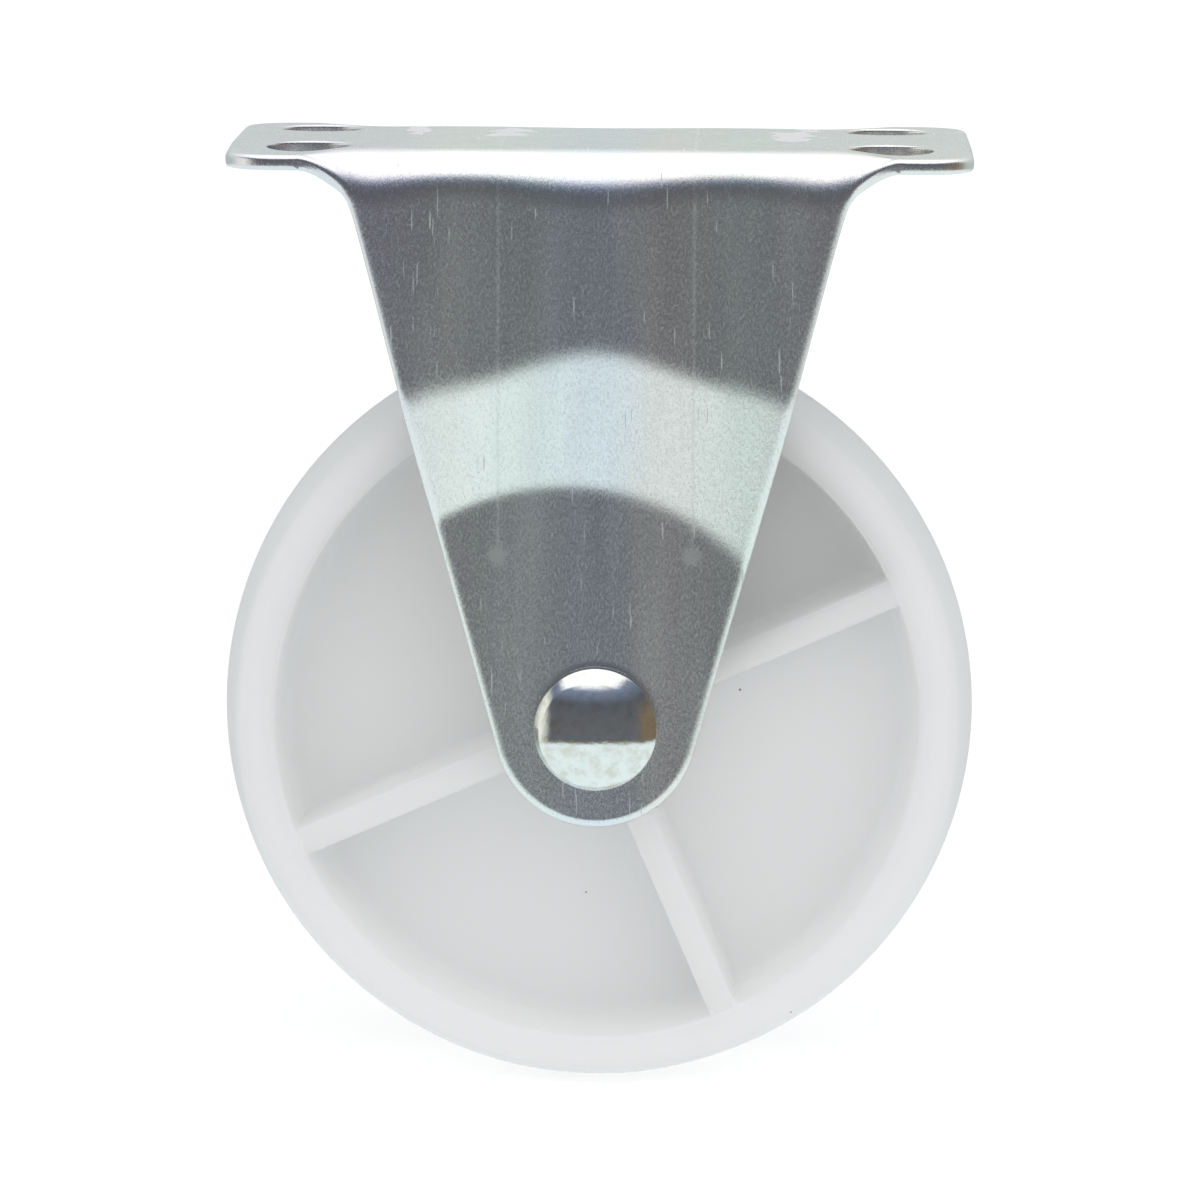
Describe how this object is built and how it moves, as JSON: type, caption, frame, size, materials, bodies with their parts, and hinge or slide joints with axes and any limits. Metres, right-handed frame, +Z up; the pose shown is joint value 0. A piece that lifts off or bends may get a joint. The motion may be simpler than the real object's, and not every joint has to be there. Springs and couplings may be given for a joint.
{
  "type": "fixed castor",
  "caption": "Rigid plate castor: pressed steel fork with a flat top plate and joggled legs, and a ribbed white plastic wheel on a riveted axle.",
  "frame": {"origin": "centre of the plate's top face, which is the centre of its screw pattern", "axes": "+Z up, out of the plate towards what it is screwed to; +X the rolling direction and the plate's length; +Y along the axle"},
  "size_m": [0.0748, 0.0398, 0.0942],
  "materials": {
    "zinc_plate": "bright zinc plated pressed sheet, fine grained",
    "wheel_plastic": "moulded translucent white polypropylene, satin",
    "rivet_steel": "bright plated, upset head",
    "sleeve_steel": "drawn steel tube"
  },
  "bodies": {
    "fork": {"fork_housing": "zinc_plate", "axle_rivet": "rivet_steel", "axle_sleeve": "sleeve_steel"},
    "wheel": {"wheel": "wheel_plastic"}
  },
  "joints": [
    {"name": "wheel_spin", "type": "hinge", "parent": "fork", "child": "wheel", "pos_m": [0, 0, -0.0568], "axis": [0, 1, 0], "continuous": true}
  ]
}
